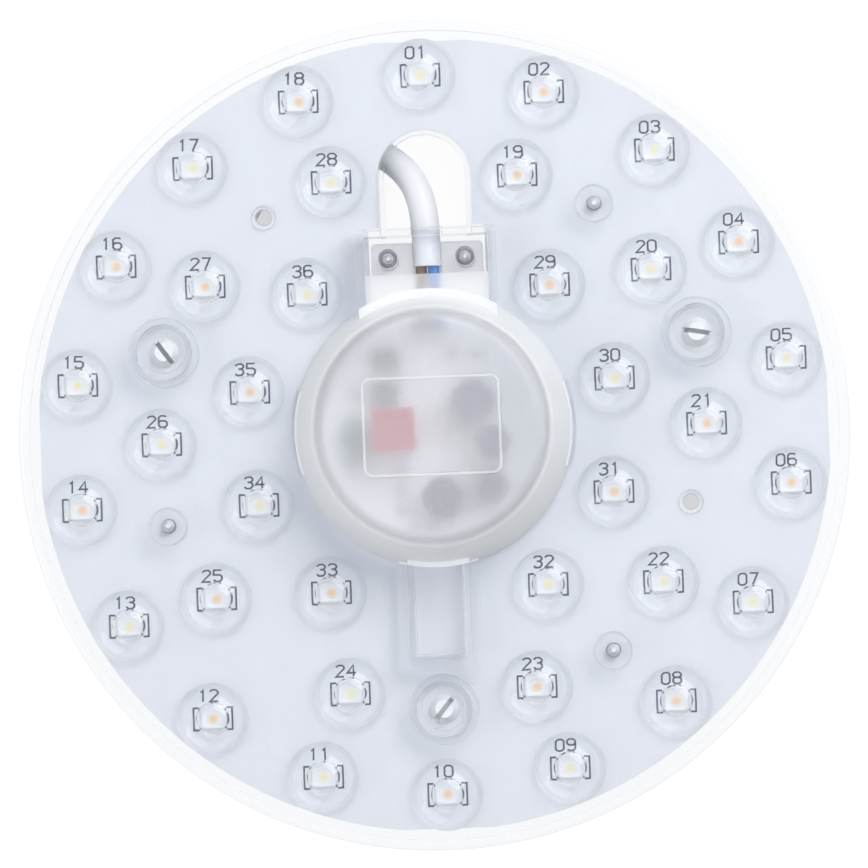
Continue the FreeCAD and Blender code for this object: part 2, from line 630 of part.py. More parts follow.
def add_slot(sketch, half, start):
    """An upright slot: straight sides from a line near the box and a half round crown."""
    crown = "(slot_end - slot_half)"
    radius = size(half)
    low, high = size(start), size(crown)
    foot = sketch.addGeometry(Part.LineSegment(Vector(-radius, low, 0), Vector(radius, low, 0)))
    right = sketch.addGeometry(Part.LineSegment(Vector(radius, low, 0), Vector(radius, high, 0)))
    corners = Vector(radius, high, 0), Vector(0, high + radius, 0), Vector(-radius, high, 0)
    arch = sketch.addGeometry(Part.Arc(*corners))
    left = sketch.addGeometry(Part.LineSegment(Vector(-radius, high, 0), Vector(-radius, low, 0)))
    for first, second, first_end, second_end in ((foot, right, 2, 1), (left, foot, 2, 1)):
        sketch.addConstraint(Sketcher.Constraint("Coincident", first, first_end, second, second_end))
    sketch.addConstraint(Sketcher.Constraint("Coincident", right, 2, arch, 1))
    sketch.addConstraint(Sketcher.Constraint("Coincident", arch, 2, left, 1))
    pin_point(sketch, foot, 1, f"-({half})", start)
    pin_point(sketch, right, 1, half, start)
    pin_point(sketch, right, 2, half, crown)
    pin_point(sketch, left, 1, f"-({half})", crown)
    index = sketch.addConstraint(Sketcher.Constraint("DistanceY", -1, 1, arch, 3, high))
    sketch.setExpression(f"Constraints[{index}]", bound(crown))


# LED board, white on aluminium
def make_led_board():
    """A round board with four flats, the cut-out for slot and box, and holes for what passes it."""
    body = start_body("led_board")
    disc = new_sketch(body, "board_outline", height="foot_height")
    add_circle(disc, "0", "0", BOARD_RADIUS)
    pad(body, disc, "board_thickness", "board")
    edge = new_sketch(body, "board_flat_outline", height="foot_height")
    flat = BOARD_RADIUS + " - flat_depth"
    add_box(edge, flat, "plate_radius", "-plate_radius / 4", "plate_radius / 4")
    first_flat = pocket(body, edge, "board_thickness", "board_flat")
    ring_pattern(body, [first_flat], "360", "4", "board_flats")
    slot = new_sketch(body, "board_slot_outline", height="foot_height")
    add_slot(slot, "slot_half + slot_wall + hole_clearance", "dome_base - dome_wall")
    pocket(body, slot, "board_thickness", "board_slot")
    bay = new_sketch(body, "board_bay_outline", height="foot_height")
    bay_half = "(box_half - box_wall - cut_margin)"
    add_box(bay, "-" + bay_half, bay_half, "dome_base - dome_wall - cut_margin", "box_end")
    pocket(body, bay, "board_thickness", "board_bay")
    holes = new_sketch(body, "board_hole_outline", height="foot_height")
    for ring, angle, turn in FEET:
        add_circle(holes, *on_ring(ring, angle), "peg_radius + hole_clearance")
    for angle in SCREW_ANGLES:
        add_circle(holes, *on_ring(BOSS_RING, angle), "screw_radius + hole_clearance")
    for ring, angle in POSTS:
        add_circle(holes, *on_ring(ring, angle), "post_pin + hole_clearance")
    pocket(body, holes, "board_thickness", "board_holes")


# LEDs, cool white and warm white in turn
def make_leds():
    """Every second LED of a ring is cool, beginning with the top one or the upper right one."""
    groups = {"leds_cool": [], "leds_warm": []}
    length, width = size("led_length"), size("led_width")
    for ring, first in zip(lens_places(), (0, 1, 1)):
        for i, (radius, angle) in enumerate(ring):
            x = radius * math.cos(math.radians(angle)) - length / 2
            y = radius * math.sin(math.radians(angle)) - width / 2
            package = Part.makeBox(length, width, size("led_height"), Vector(x, y, size(BOARD_TOP)))
            kind = "leds_cool" if (i + first) % 2 == 0 else "leds_warm"
            groups[kind].append(package)
    for name, packages in groups.items():
        make_shape(name, Part.makeCompound(packages))


# Driver: film, board, components, pins
def place(body, x, y, height, turn=0.0):
    """Stand a body at formulas, turned about +Z."""
    body.Placement = Placement(Vector(size(x), size(y), size(height)), Rotation(Vector(0, 0, 1), turn))
    for axis, formula in (("x", x), ("y", y), ("z", height)):
        body.setExpression(f"Placement.Base.{axis}", bound(formula))


def make_driver_boards():
    """The insulating film on the LED board and the driver board on the film, with its pin holes."""
    for name, radius, under, thickness in (
        ("insulating_film", FILM_RADIUS, BOARD_TOP, "film_thickness"),
        ("driver_board", DRIVER_RADIUS, DRIVER_UNDER, "driver_thickness"),
    ):
        body = start_body(name)
        disc = new_sketch(body, name + "_outline", height=under)
        add_circle(disc, "0", "dome_shift", radius)
        pad(body, disc, thickness, name + "_disc")
        edge = new_sketch(body, name + "_edge_outline", height=under)
        flat = f"dome_shift + {DRIVER_RADIUS} - driver_flat_depth"
        add_box(edge, "-dome_base", "dome_base", flat, flat + " + dome_base")
        pocket(body, edge, thickness, name + "_flat")
        holes = new_sketch(body, name + "_hole_outline", height=under)
        for i in range(4):
            add_circle(holes, f"pin_pitch * {i - 1.5}", PIN_ROW, "pin_radius + hole_clearance")
        pocket(body, holes, thickness, name + "_holes")
    pins = []
    height = size("film_thickness + driver_thickness + pin_rise")
    for i in range(4):
        foot = Vector(size("pin_pitch") * (i - 1.5), size(PIN_ROW), size(BOARD_TOP))
        pins.append(Part.makeCylinder(size("pin_radius"), height, foot))
    make_shape("link_pins", Part.makeCompound(pins))


def make_block(name, spot, length, width, height, corner=None):
    """A moulded component with upright sides, in the middle of its spot."""
    body = start_body(name)
    outline = new_sketch(body, name + "_outline")
    add_box(outline, f"-{length} / 2", f"{length} / 2", f"-{width} / 2", f"{width} / 2", corner)
    pad(body, outline, height, name + "_block")
    place(body, str(spot[0]), str(spot[1]), DRIVER_TOP)


def make_can(name, x, y, radius):
    """An upright electrolytic capacitor: a can with a crimp above its base and a bevelled top."""
    body = start_body(name)
    outline = new_sketch(body, name + "_outline", "XZ_Plane")
    add_outline(outline, [
        ("0", "0"),
        (radius, "0"),
        (radius, "can_crimp_place - can_crimp_half"),
        (radius + " - can_crimp_depth", "can_crimp_place"),
        (radius, "can_crimp_place + can_crimp_half"),
        (radius, "can_height - can_bevel"),
        (radius + " - can_bevel", "can_height"),
        ("0", "can_height"),
    ])
    revolve(body, outline, name + "_can")
    place(body, str(x), str(y), DRIVER_TOP)


def make_choke(name, spot, radius, height):
    """A drum choke: two flanges with the winding between them."""
    body = start_body(name)
    outline = new_sketch(body, name + "_outline", "XZ_Plane")
    add_outline(outline, [
        ("0", "0"),
        (radius, "0"),
        (radius, "flange"),
        (f"{radius} - winding_step", "flange"),
        (f"{radius} - winding_step", f"{height} - flange"),
        (radius, f"{height} - flange"),
        (radius, height),
        ("0", height),
    ])
    revolve(body, outline, name + "_drum")
    place(body, str(spot[0]), str(spot[1]), DRIVER_TOP)


def make_small_parts():
    """The fuse resistor on its bent leads, and the chip resistors."""
    radius, lead = size("fuse_radius"), size("fuse_lead")
    length, top = size("fuse_length"), size(DRIVER_TOP)
    x, y = FUSE_PLACE
    middle = top + radius + 2 * lead
    along = Vector(0, 1, 0)
    reach = length / 2 + 4 * lead
    leads = tube("fuse_resistor_leads", (
        (x, y - reach, top), (x, y - reach, middle), (x, y + reach, middle), (x, y + reach, top),
    ), lead)
    fuse = Part.makeCylinder(radius, length, Vector(x, y - length / 2, middle), along)
    make_shape("fuse_resistor", fuse.fuse(leads))
    length, width, height = size("resistor_length"), size("resistor_width"), size("resistor_height")
    chips = [
        Part.makeBox(length, width, height, Vector(x - length / 2, y - width / 2, top))
        for x, y in RESISTOR_PLACES
    ]
    make_shape("chip_resistors", Part.makeCompound(chips))


# Magnet feet, magnets and board screws
def make_feet():
    """Three feet, each with a cup for its magnet and a split peg that snaps through the board."""
    for number, (ring, angle, turn) in enumerate(FEET, start=1):
        foot = start_body(f"magnet_foot_{number}")
        outline = new_sketch(foot, f"foot_outline_{number}", "XZ_Plane")
        seat = "(magnet_height + magnet_air)"
        snap = f"({BOARD_TOP} + magnet_air)"
        add_outline(outline, [
            ("magnet_radius + magnet_air", "magnet_stand"),
            ("foot_radius", "magnet_stand"),
            ("foot_radius", "foot_cup - rim_round"),
            ("foot_radius - rim_round", "foot_cup"),
            ("foot_neck", "foot_cup"),
            ("foot_neck", "foot_height"),
            ("peg_radius", "foot_height"),
            ("peg_radius", snap),
            ("peg_head", snap),
            ("peg_radius - peg_split / 2", BOARD_TOP + " + peg_top"),
            ("0", BOARD_TOP + " + peg_top"),
            ("0", seat),
            ("magnet_radius + magnet_air", seat),
        ])
        revolve(foot, outline, f"foot_{number}")
        slit = new_sketch(foot, f"slit_outline_{number}", height="foot_height")
        add_box(slit, "-peg_split / 2", "peg_split / 2", "-peg_head - 1", "peg_head + 1")
        pocket(foot, slit, "board_thickness + peg_top", f"peg_slit_{number}")
        place(foot, *on_ring(ring, angle), "0", turn)

        magnet = start_body(f"magnet_{number}")
        outline = new_sketch(magnet, f"magnet_outline_{number}", "XZ_Plane")
        add_outline(outline, [
            ("0", "0"),
            ("magnet_radius - magnet_bevel", "0"),
            ("magnet_radius", "magnet_bevel"),
            ("magnet_radius", "magnet_height"),
            ("0", "magnet_height"),
        ])
        revolve(magnet, outline, f"magnet_disc_{number}")
        place(magnet, *on_ring(ring, angle), "0")


def screw(head, head_height, shank, length):
    """A screw standing on its head: a pan head with a bevelled edge, a shank and a blunt point."""
    bevel, end, tip = head_height / 2, head_height + length, shank / 3
    return turned((
        (0, 0), (head - bevel, 0), (head, bevel), (head, head_height), (shank, head_height),
        (shank, end - shank), (tip, end), (0, end),
    ))


def make_screws():
    """Three screws through the board into the plate, and two that hold the cord clamp."""
    board_screws = []
    head_height = size("screw_head_height")
    for angle in SCREW_ANGLES:
        piece = screw(size("screw_head"), head_height, size("screw_radius"), size("screw_length"))
        x, y = on_ring(BOSS_RING, angle)
        piece.translate(Vector(size(x), size(y), size("foot_height") - head_height))
        board_screws.append(piece)
    make_shape("board_screws", Part.makeCompound(board_screws))
    clamp_screws = []
    sink = size("clamp_screw_sink")
    for side in (-1, 1):
        piece = screw(size("clamp_screw_head"), sink, size("clamp_screw"), size("clamp_screw_length"))
        piece.translate(Vector(side * size("clamp_screw_place"), size("clamp_place"), size(CLAMP_UNDER)))
        clamp_screws.append(piece)
    make_shape("clamp_screws", Part.makeCompound(clamp_screws))


# Cord clamp, a bar with a half round bed for the cord
def make_clamp():
    """The bar under the cord, with its bed, and a sunk hole for each screw."""
    body = start_body("cord_clamp")
    bar = new_sketch(body, "clamp_outline", height=CLAMP_UNDER)
    low, high = "clamp_place - clamp_width / 2", "clamp_place + clamp_width / 2"
    add_box(bar, "-clamp_half", "clamp_half", low, high, "rim_round")
    pad(body, bar, "clamp_thickness", "clamp_bar")
    bed = new_sketch(body, "clamp_bed_outline", "XZ_Plane", height="-clamp_place")
    add_circle(bed, "0", "cord_height", "cord_diameter / 2 + clamp_air")
    cut = pocket(body, bed, "clamp_width * 2", "clamp_bed")
    cut.SideType = "Symmetric"
    holes = new_sketch(body, "clamp_hole_outline", height=CLAMP_UNDER)
    sinks = new_sketch(body, "clamp_sink_outline", height=CLAMP_UNDER)
    for side in ("-clamp_screw_place", "clamp_screw_place"):
        add_circle(holes, side, "clamp_place", "clamp_screw + clamp_air")
        add_circle(sinks, side, "clamp_place", "clamp_screw_head + clamp_air")
    pocket(body, holes, "clamp_thickness", "clamp_holes")
    pocket(body, sinks, "clamp_screw_sink", "clamp_sinks")


# Cord, its two cores and their tinned ends
def tube(name, points, radius):
    """A round tube along straight runs joined by tangent arcs, each as large as its runs allow."""
    places = [Vector(*point) for point in points]
    edges, radii, start = [], [], places[0]
    for before, corner, after in zip(places, places[1:], places[2:]):
        back = (before - corner).normalize()
        ahead = (after - corner).normalize()
        reach = 0.45 * min((before - corner).Length, (after - corner).Length)
        half = back.getAngle(ahead) / 2
        bend = reach * math.tan(half)
        toward = (back + ahead).normalize()
        crown = corner + toward * (bend / math.sin(half) - bend)
        edges.append(Part.LineSegment(start, corner + back * reach).toShape())
        edges.append(Part.Arc(corner + back * reach, crown, corner + ahead * reach).toShape())
        start = corner + ahead * reach
        radii.append(bend)
    edges.append(Part.LineSegment(start, places[-1]).toShape())
    path = Part.Wire(edges)
    ring = Part.Wire([Part.makeCircle(radius, places[0], places[1] - places[0])])
    shell = Part.BRepOffsetAPI.MakePipeShell(path)
    shell.add(ring)
    shell.build()
    shell.makeSolid()
    solid = shell.shape()
    expected = math.pi * radius**2 * path.Length
    print(name, "length", round(path.Length, 1), "radii", [round(bend, 1) for bend in radii])
    print(name, "volume over section times length", round(solid.Volume / expected, 4))
    return solid


def make_cord():
    """The sheath, the cores to the driver, their solder joints, and the cores' free ends."""
    make_shape("cord_sheath", tube("cord_sheath", CORD_ROUTE, size("cord_diameter") / 2))
    core = size("core_diameter") / 2
    conductor = size("conductor_radius")
    joints, ends = [], []
    last, before = Vector(*CORD_ROUTE[-1]), Vector(*CORD_ROUTE[-2])
    ahead = (last - before).normalize()
    aside = Vector(-ahead.y, ahead.x, 0)
    for name, side in (("core_brown", 1), ("core_blue", -1)):
        inner = [(side * x, y, z) for x, y, z in CORE_ROUTE]
        make_shape(name, tube(name, inner, core))
        stop, way = Vector(*inner[-1]), (Vector(*inner[-1]) - Vector(*inner[-2])).normalize()
        stub = Part.makeCylinder(conductor, size("stub_length"), stop, way)
        spot = stop + way * size("stub_length")
        foot = Vector(spot.x, spot.y, size(DRIVER_TOP))
        blob = Part.makeCone(size("joint_radius"), conductor, spot.z + conductor - foot.z, foot)
        joints.append(stub.fuse(blob))
        free = []
        for forward, sideways, height in END_ROUTE:
            point = last + ahead * forward + aside * (side * sideways)
            free.append((point.x, point.y, height))
        make_shape(name + "_end", tube(name + "_end", free, core))
        tip = Vector(*free[-1])
        ends.append(Part.makeCylinder(conductor, size("bare_end"), tip, tip - Vector(*free[-2])))
    make_shape("solder_joints", Part.makeCompound(joints))
    make_shape("tinned_ends", Part.makeCompound(ends))


make_lens_plate()
make_led_board()
make_leds()
make_driver_boards()
make_block("film_capacitor", RED_PLACE, "red_side", "red_side", "red_height", "red_side / 10")
for can_name, can_x, can_y, can_size in CAN_PLACES:
    make_can(can_name, can_x, can_y, can_size)
make_choke("driver_choke", CHOKE_PLACE, "choke_radius", "choke_height")
make_choke("filter_choke", FILTER_PLACE, "filter_radius", "filter_height")
make_block("bridge_rectifier", RECTIFIER_PLACE, "rectifier_length", "rectifier_width", "rectifier_height")
make_block("driver_chip", CHIP_PLACE, "chip_length", "chip_width", "chip_height")
make_small_parts()
make_feet()
make_screws()
make_clamp()
make_cord()

doc.recompute()
for item in doc.Objects:
    if "Invalid" in item.State or "Error" in item.State:
        raise RuntimeError(f"{item.Name} failed: {item.State}")
for item in subparts:
    if item.Shape.isNull() or not item.Shape.isValid():
        raise RuntimeError(f"{item.Label} has no valid shape")
os.makedirs("parts", exist_ok=True)
for item in subparts:
    item.Shape.exportStep(f"parts/{item.Label}.step")
    print(item.Label, round(item.Shape.Volume, 1), "mm3", len(item.Shape.Solids), "solids")
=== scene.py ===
"""Looks of the magnetic LED ceiling module: lens plate, LED board, LEDs, driver, feet and cord."""

import math

import bpy
import numpy as np
from mathutils import Matrix, Vector


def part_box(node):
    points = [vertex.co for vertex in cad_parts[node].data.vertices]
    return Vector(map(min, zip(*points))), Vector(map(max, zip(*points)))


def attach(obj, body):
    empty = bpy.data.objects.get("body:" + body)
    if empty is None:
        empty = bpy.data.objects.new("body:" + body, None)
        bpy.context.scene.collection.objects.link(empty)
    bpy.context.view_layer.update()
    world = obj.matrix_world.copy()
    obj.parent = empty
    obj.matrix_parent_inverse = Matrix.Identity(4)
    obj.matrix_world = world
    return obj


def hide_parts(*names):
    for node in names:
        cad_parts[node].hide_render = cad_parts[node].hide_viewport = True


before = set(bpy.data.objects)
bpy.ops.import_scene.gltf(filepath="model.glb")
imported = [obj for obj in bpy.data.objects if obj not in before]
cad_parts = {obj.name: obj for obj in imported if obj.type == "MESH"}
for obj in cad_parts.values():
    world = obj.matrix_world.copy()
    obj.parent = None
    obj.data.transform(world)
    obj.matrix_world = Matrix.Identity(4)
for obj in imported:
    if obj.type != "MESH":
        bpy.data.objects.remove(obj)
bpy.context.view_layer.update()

bl_info = {
    "name": "Magnetic LED ceiling module",
    "version": (1, 0, 0),
    "blender": (4, 5, 0),
    "location": "3D View > Sidebar > LED module",
    "description": "Builds the finishes and fine pieces of a round LED module on its packed model",
    "category": "Object",
}

MM = 0.001


def box(node):
    """A node's lowest and highest corners, in metres."""
    return tuple(np.array(corner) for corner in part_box(node))


# Places that follow the model, in metres
PLATE_LOW, PLATE_HIGH = box("lens_plate")
PLATE_FOOT = float(PLATE_LOW[2])
PLATE_RADIUS = float(PLATE_HIGH[0])
PLATE_TOP = float(PLATE_HIGH[2])
BOARD_TOP = float(box("led_board")[1][2])


class ModuleSizes(bpy.types.PropertyGroup):
    """Sizes that the looks add to the model."""

    ink_width: bpy.props.FloatProperty(
        name="Ink width", description="Width of a printed line on the board",
        default=0.28 * MM, unit="LENGTH", precision=5,
    )
    digit_height: bpy.props.FloatProperty(
        name="Digit height", description="Height of the printed numbers",
        default=1.8 * MM, unit="LENGTH", precision=5,
    )
    frost: bpy.props.FloatProperty(
        name="Frost", description="Roughness of the frosted driver dome",
        default=0.35, min=0.0, max=1.0, subtype="FACTOR",
    )
    haze: bpy.props.FloatProperty(
        name="Haze", description="Share of light that the frosted driver dome scatters as white",
        default=0.22, min=0.0, max=1.0, subtype="FACTOR",
    )
    wall_haze: bpy.props.FloatProperty(
        name="Wall haze", description="Share of light that the dome's thicker side wall scatters as white",
        default=0.8, min=0.0, max=1.0, subtype="FACTOR",
    )
    camera_distance: bpy.props.FloatProperty(
        name="Camera distance", description="Distance from the camera to the lens plate",
        default=1.2, unit="LENGTH",
    )


def hex_colour(name, default, description):
    """A colour property whose default is an sRGB hex value."""
    return bpy.props.StringProperty(name=name, default=default, description=description)


class ModuleColours(bpy.types.PropertyGroup):
    """Colours of the module, as sRGB hex values."""

    board: hex_colour("Board", "#E1E4E9", "White solder mask of the LED board")
    ink: hex_colour("Ink", "#3E4258", "Print on the LED board")
    package: hex_colour("LED package", "#F1F3F6", "White body of an LED")
    cool: hex_colour("Cool phosphor", "#F4E9A4", "Pale yellow phosphor of the cool LEDs")
    warm: hex_colour("Warm phosphor", "#F7C27C", "Orange phosphor of the warm LEDs")
    sheath: hex_colour("Sheath", "#EDEFF4", "White sheath of the cord")
    brown: hex_colour("Brown core", "#7B5A4E", "Insulation of the brown core")
    blue: hex_colour("Blue core", "#2F86D6", "Insulation of the blue core")
    red: hex_colour("Film capacitor", "#A80038", "Red case of the film capacitor")
    backdrop: hex_colour("Backdrop", "#FFFFFF", "Floor and background")


def linear(text):
    """An sRGB hex colour as linear red, green, blue and alpha."""
    values = np.array([int(text[i:i + 2], 16) for i in (1, 3, 5)]) / 255
    bright = ((values + 0.055) / 1.055) ** 2.4
    return (*np.where(values > 0.04045, bright, values / 12.92), 1.0)


def add_node(tree, kind, settings=None, inputs=None):
    """Add a shader node; inputs holds values, or (node, output) pairs to link."""
    node = tree.nodes.new(kind)
    for name, value in (settings or {}).items():
        setattr(node, name, value)
    for name, value in (inputs or {}).items():
        if isinstance(value, tuple) and isinstance(value[0], bpy.types.Node):
            tree.links.new(value[0].outputs[value[1]], node.inputs[name])
        else:
            node.inputs[name].default_value = value
    return node


def maths(tree, operation, first, second=0.0, third=0.0):
    """One step of arithmetic; each term is a number or a (node, output) pair."""
    node = add_node(tree, "ShaderNodeMath", {"operation": operation}, {0: first, 1: second, 2: third})
    return (node, "Value")


def new_material(name):
    """An empty node material, its tree and its output node."""
    material = bpy.data.materials.new(name)
    material.use_nodes = True
    material.node_tree.nodes.clear()
    return material, material.node_tree, material.node_tree.nodes.new("ShaderNodeOutputMaterial")


def object_axes(tree):
    """The object's coordinates, whole and split into X, Y and Z."""
    place = add_node(tree, "ShaderNodeTexCoord")
    split = add_node(tree, "ShaderNodeSeparateXYZ", None, {"Vector": (place, "Object")})
    return (place, "Object"), (split, "X"), (split, "Y"), (split, "Z")


def grain_noise(tree, vector, grain, detail=3.0):
    """Soft noise whose features are about one grain size across, in metres."""
    inputs = {"Vector": vector, "Scale": 1 / grain, "Detail": detail}
    return (add_node(tree, "ShaderNodeTexNoise", None, inputs), "Fac")


def blend(tree, share, first, second):
    """A colour between two others."""
    node = add_node(tree, "ShaderNodeMix", {"data_type": "RGBA"}, {0: share, 6: first, 7: second})
    return (node, 2)


def plain_material(name, colour, grain, spread=0.04, bump=0.0, **values):
    """A Principled material with a mottled colour and a fine relief of the same grain."""
    material, tree, output = new_material(name)
    whole = object_axes(tree)[0]
    noise = grain_noise(tree, whole, grain)
    base = linear(colour)
    dark = tuple(c * (1 - spread) for c in base[:3]) + (1.0,)
    light = tuple(min(c * (1 + spread), 1.0) for c in base[:3]) + (1.0,)
    inputs = {"Base Color": blend(tree, noise, dark, light)}
    if bump:
        relief = {"Height": noise, "Strength": bump, "Distance": grain / 10}
        inputs["Normal"] = (add_node(tree, "ShaderNodeBump", None, relief), "Normal")
    inputs.update(values)
    surface = add_node(tree, "ShaderNodeBsdfPrincipled", None, inputs)
    tree.links.new(surface.outputs["BSDF"], output.inputs["Surface"])
    return material


def let_light_through(tree, surface, colour, output):
    """Make a glassy surface cast a pale shadow of one colour, in place of a solid one."""
    path = add_node(tree, "ShaderNodeLightPath")
    through = add_node(tree, "ShaderNodeBsdfTransparent", None, {"Color": colour})
    mix = add_node(tree, "ShaderNodeMixShader", None,
                   {0: (path, "Is Shadow Ray"), 1: (surface, "BSDF"), 2: (through, "BSDF")})
    tree.links.new(mix.outputs["Shader"], output.inputs["Surface"])


def use_material(obj, material):
    """Give every face of an object one material."""
    obj.data.materials.clear()
    obj.data.materials.append(material)


def dress(material, *nodes):
    """Give carried-over nodes their finish."""
    for node in nodes:
        use_material(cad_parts[node], material)


# Where the frosted skin of the lens plate lies, in metres: the dome to its foot, and the box's rear roof
FROST_SHIFT = 0.9 * MM
FROST_RADIUS = 25.7 * MM
PLATEAU_RADIUS = 21.6 * MM
FROST_BOX_HALF = 11.4 * MM
FROST_BOX_END = 29.3 * MM
FROST_START = BOARD_TOP + 2.3 * MM

# The height of the lens hollows' roofs, and of the raised line on the dome, in metres
HOLLOW_ROOF = 13.6 * MM
ROOF_BAND = 0.05 * MM
FRAME_START = PLATE_TOP - 0.2 * MM


def frosted_share(tree, x, y, z):
    """Two shares: 1 on the dome and the terminal box's rear roof, and 1 on the dome's side wall."""
    shifted = maths(tree, "SUBTRACT", y, FROST_SHIFT)
    flat = add_node(tree, "ShaderNodeCombineXYZ", None, {"X": x, "Y": shifted})
    reach = add_node(tree, "ShaderNodeVectorMath", {"operation": "LENGTH"}, {0: (flat, "Vector")})
    on_dome = maths(tree, "LESS_THAN", (reach, "Value"), FROST_RADIUS)
    beside = maths(tree, "LESS_THAN", maths(tree, "ABSOLUTE", x), FROST_BOX_HALF)
    before = maths(tree, "LESS_THAN", y, FROST_BOX_END)
    behind = maths(tree, "GREATER_THAN", y, 0.0)
    on_box = maths(tree, "MULTIPLY", maths(tree, "MULTIPLY", beside, before), behind)
    above = maths(tree, "GREATER_THAN", z, FROST_START)
    edge = add_node(tree, "ShaderNodeMapRange", {"interpolation_type": "SMOOTHSTEP"}, {
        "Value": (reach, "Value"),
        "From Min": PLATEAU_RADIUS - 0.4 * MM, "From Max": PLATEAU_RADIUS + 0.6 * MM,
    })
    on_wall = maths(tree, "MULTIPLY", (edge, "Result"), on_dome)
    return maths(tree, "MULTIPLY", maths(tree, "MAXIMUM", on_dome, on_box), above), on_wall


# The acrylic's skin: roughness where polished, roughness and white haze of the hollows' blasted roofs, and
# haze of the dome's raised line and of the specks in its frost, which are coarser than real grit to show
POLISHED_ROUGHNESS = 0.015
ROOF_ROUGHNESS = 0.22
ROOF_HAZE = 0.25
FRAME_HAZE = 0.35
SPECK_HAZE = 0.25
SPECK_GRAIN = 0.35 * MM
EDGE_ROUND = 0.22 * MM


def clear_acrylic(frost, haze, wall_haze):
    """Injection-moulded clear acrylic: polished and wet-looking, with a blasted milky skin on the dome.

    Its rounded edges catch thin bright lines, and its steep walls cast soft grey shade on the board.
    """
    material, tree, output = new_material("clear_acrylic")
    whole, x, y, z = object_axes(tree)
    frosted, on_wall = frosted_share(tree, x, y, z)
    milk = maths(tree, "MULTIPLY", frosted, maths(tree, "MULTIPLY_ADD", on_wall, wall_haze - haze, haze))
    from_roof = maths(tree, "ABSOLUTE", maths(tree, "SUBTRACT", z, HOLLOW_ROOF))
    roof = maths(tree, "LESS_THAN", from_roof, ROOF_BAND)
    milk = maths(tree, "MULTIPLY_ADD", roof, ROOF_HAZE, milk)
    rough = maths(tree, "MULTIPLY_ADD", frosted, frost, POLISHED_ROUGHNESS)
    rough = maths(tree, "MULTIPLY_ADD", roof, ROOF_ROUGHNESS, rough)
    sparkle = grain_noise(tree, whole, SPECK_GRAIN, 2.0)
    specks = add_node(tree, "ShaderNodeMapRange", None, {"Value": sparkle, "From Min": 0.6, "From Max": 0.72})
    in_frost = maths(tree, "MULTIPLY", (specks, "Result"), frosted)
    milk = maths(tree, "MULTIPLY_ADD", in_frost, SPECK_HAZE, milk)
    on_frame = maths(tree, "GREATER_THAN", z, FRAME_START)
    milk = maths(tree, "MINIMUM", maths(tree, "MULTIPLY_ADD", on_frame, FRAME_HAZE, milk), 0.97)
    rounded = add_node(tree, "ShaderNodeBevel", {"samples": 4}, {"Radius": EDGE_ROUND})
    relief = add_node(tree, "ShaderNodeBump", None, {
        "Height": maths(tree, "MULTIPLY", sparkle, frosted), "Strength": 0.35, "Distance": 0.02 * MM,
        "Normal": (rounded, "Normal"),
    })
    surface = add_node(tree, "ShaderNodeBsdfPrincipled", None, {
        "Base Color": linear("#F8F9FB"), "Roughness": rough, "IOR": 1.49, "Normal": (relief, "Normal"),
        "Transmission Weight": maths(tree, "SUBTRACT", 1.0, milk),
    })
    place = add_node(tree, "ShaderNodeTexCoord")
    facing = add_node(tree, "ShaderNodeSeparateXYZ", None, {"Vector": (place, "Normal")})
    level = add_node(tree, "ShaderNodeMapRange", None, {
        "Value": maths(tree, "ABSOLUTE", (facing, "Z")), "From Min": 0.25, "From Max": 0.95,
    })
    shade = blend(tree, (level, "Result"), linear("#A9AEB8"), linear("#FBFCFE"))
    let_light_through(tree, surface, shade, output)
    return material


MASK_THICKNESS = 0.12 * MM


def board_material(colour):
    """White solder mask on the board's face: matt and a little cloudy.

    Its edge and back show the bare aluminium under it, with fine rolling streaks along X.
    """
    material, tree, output = new_material("white_solder_mask_on_aluminium")
    whole, _, _, z = object_axes(tree)
    face = maths(tree, "GREATER_THAN", z, BOARD_TOP - MASK_THICKNESS)
    noise = grain_noise(tree, whole, 6 * MM)
    fine = grain_noise(tree, whole, 0.12 * MM)
    white = linear(colour)
    shade = tuple(c * 0.965 for c in white[:3]) + (1.0,)
    mask = blend(tree, noise, shade, white)
    stretch = add_node(tree, "ShaderNodeMapping", None, {"Vector": whole, "Scale": (1.0, 24.0, 24.0)})
    streak = grain_noise(tree, (stretch, "Vector"), 5 * MM)
    metal = blend(tree, streak, linear("#B9BCC0"), linear("#D5D8DB"))
    relief = add_node(tree, "ShaderNodeBump", None, {"Height": fine, "Strength": 0.08, "Distance": 0.01 * MM})
    surface = add_node(tree, "ShaderNodeBsdfPrincipled", None, {
        "Base Color": blend(tree, face, metal, mask),
        "Metallic": maths(tree, "SUBTRACT", 1.0, face),
        "Roughness": maths(tree, "MULTIPLY_ADD", streak, 0.12, 0.3),
        "Normal": (relief, "Normal"),
    })
    tree.links.new(surface.outputs["BSDF"], output.inputs["Surface"])
    return material


def phosphor_material(name, colour, package):
    """Phosphor in clear silicone: a soft coloured spot over the die, fading to the white cup round it."""
    material, tree, output = new_material(name)
    place = add_node(tree, "ShaderNodeUVMap", {"uv_map": "from_die"})
    reach = add_node(tree, "ShaderNodeVectorMath", {"operation": "LENGTH"}, {0: (place, "UV")})
    fade = add_node(tree, "ShaderNodeMapRange", {"interpolation_type": "SMOOTHSTEP"}, {
        "Value": (reach, "Value"), "From Min": 0.15, "From Max": 1.0, "To Min": 1.0, "To Max": 0.0,
    })
    surface = add_node(tree, "ShaderNodeBsdfPrincipled", None, {
        "Base Color": blend(tree, (fade, "Result"), linear(package), linear(colour)),
        "Roughness": 0.35, "IOR": 1.41, "Coat Weight": 0.3,
    })
    tree.links.new(surface.outputs["BSDF"], output.inputs["Surface"])
    return material


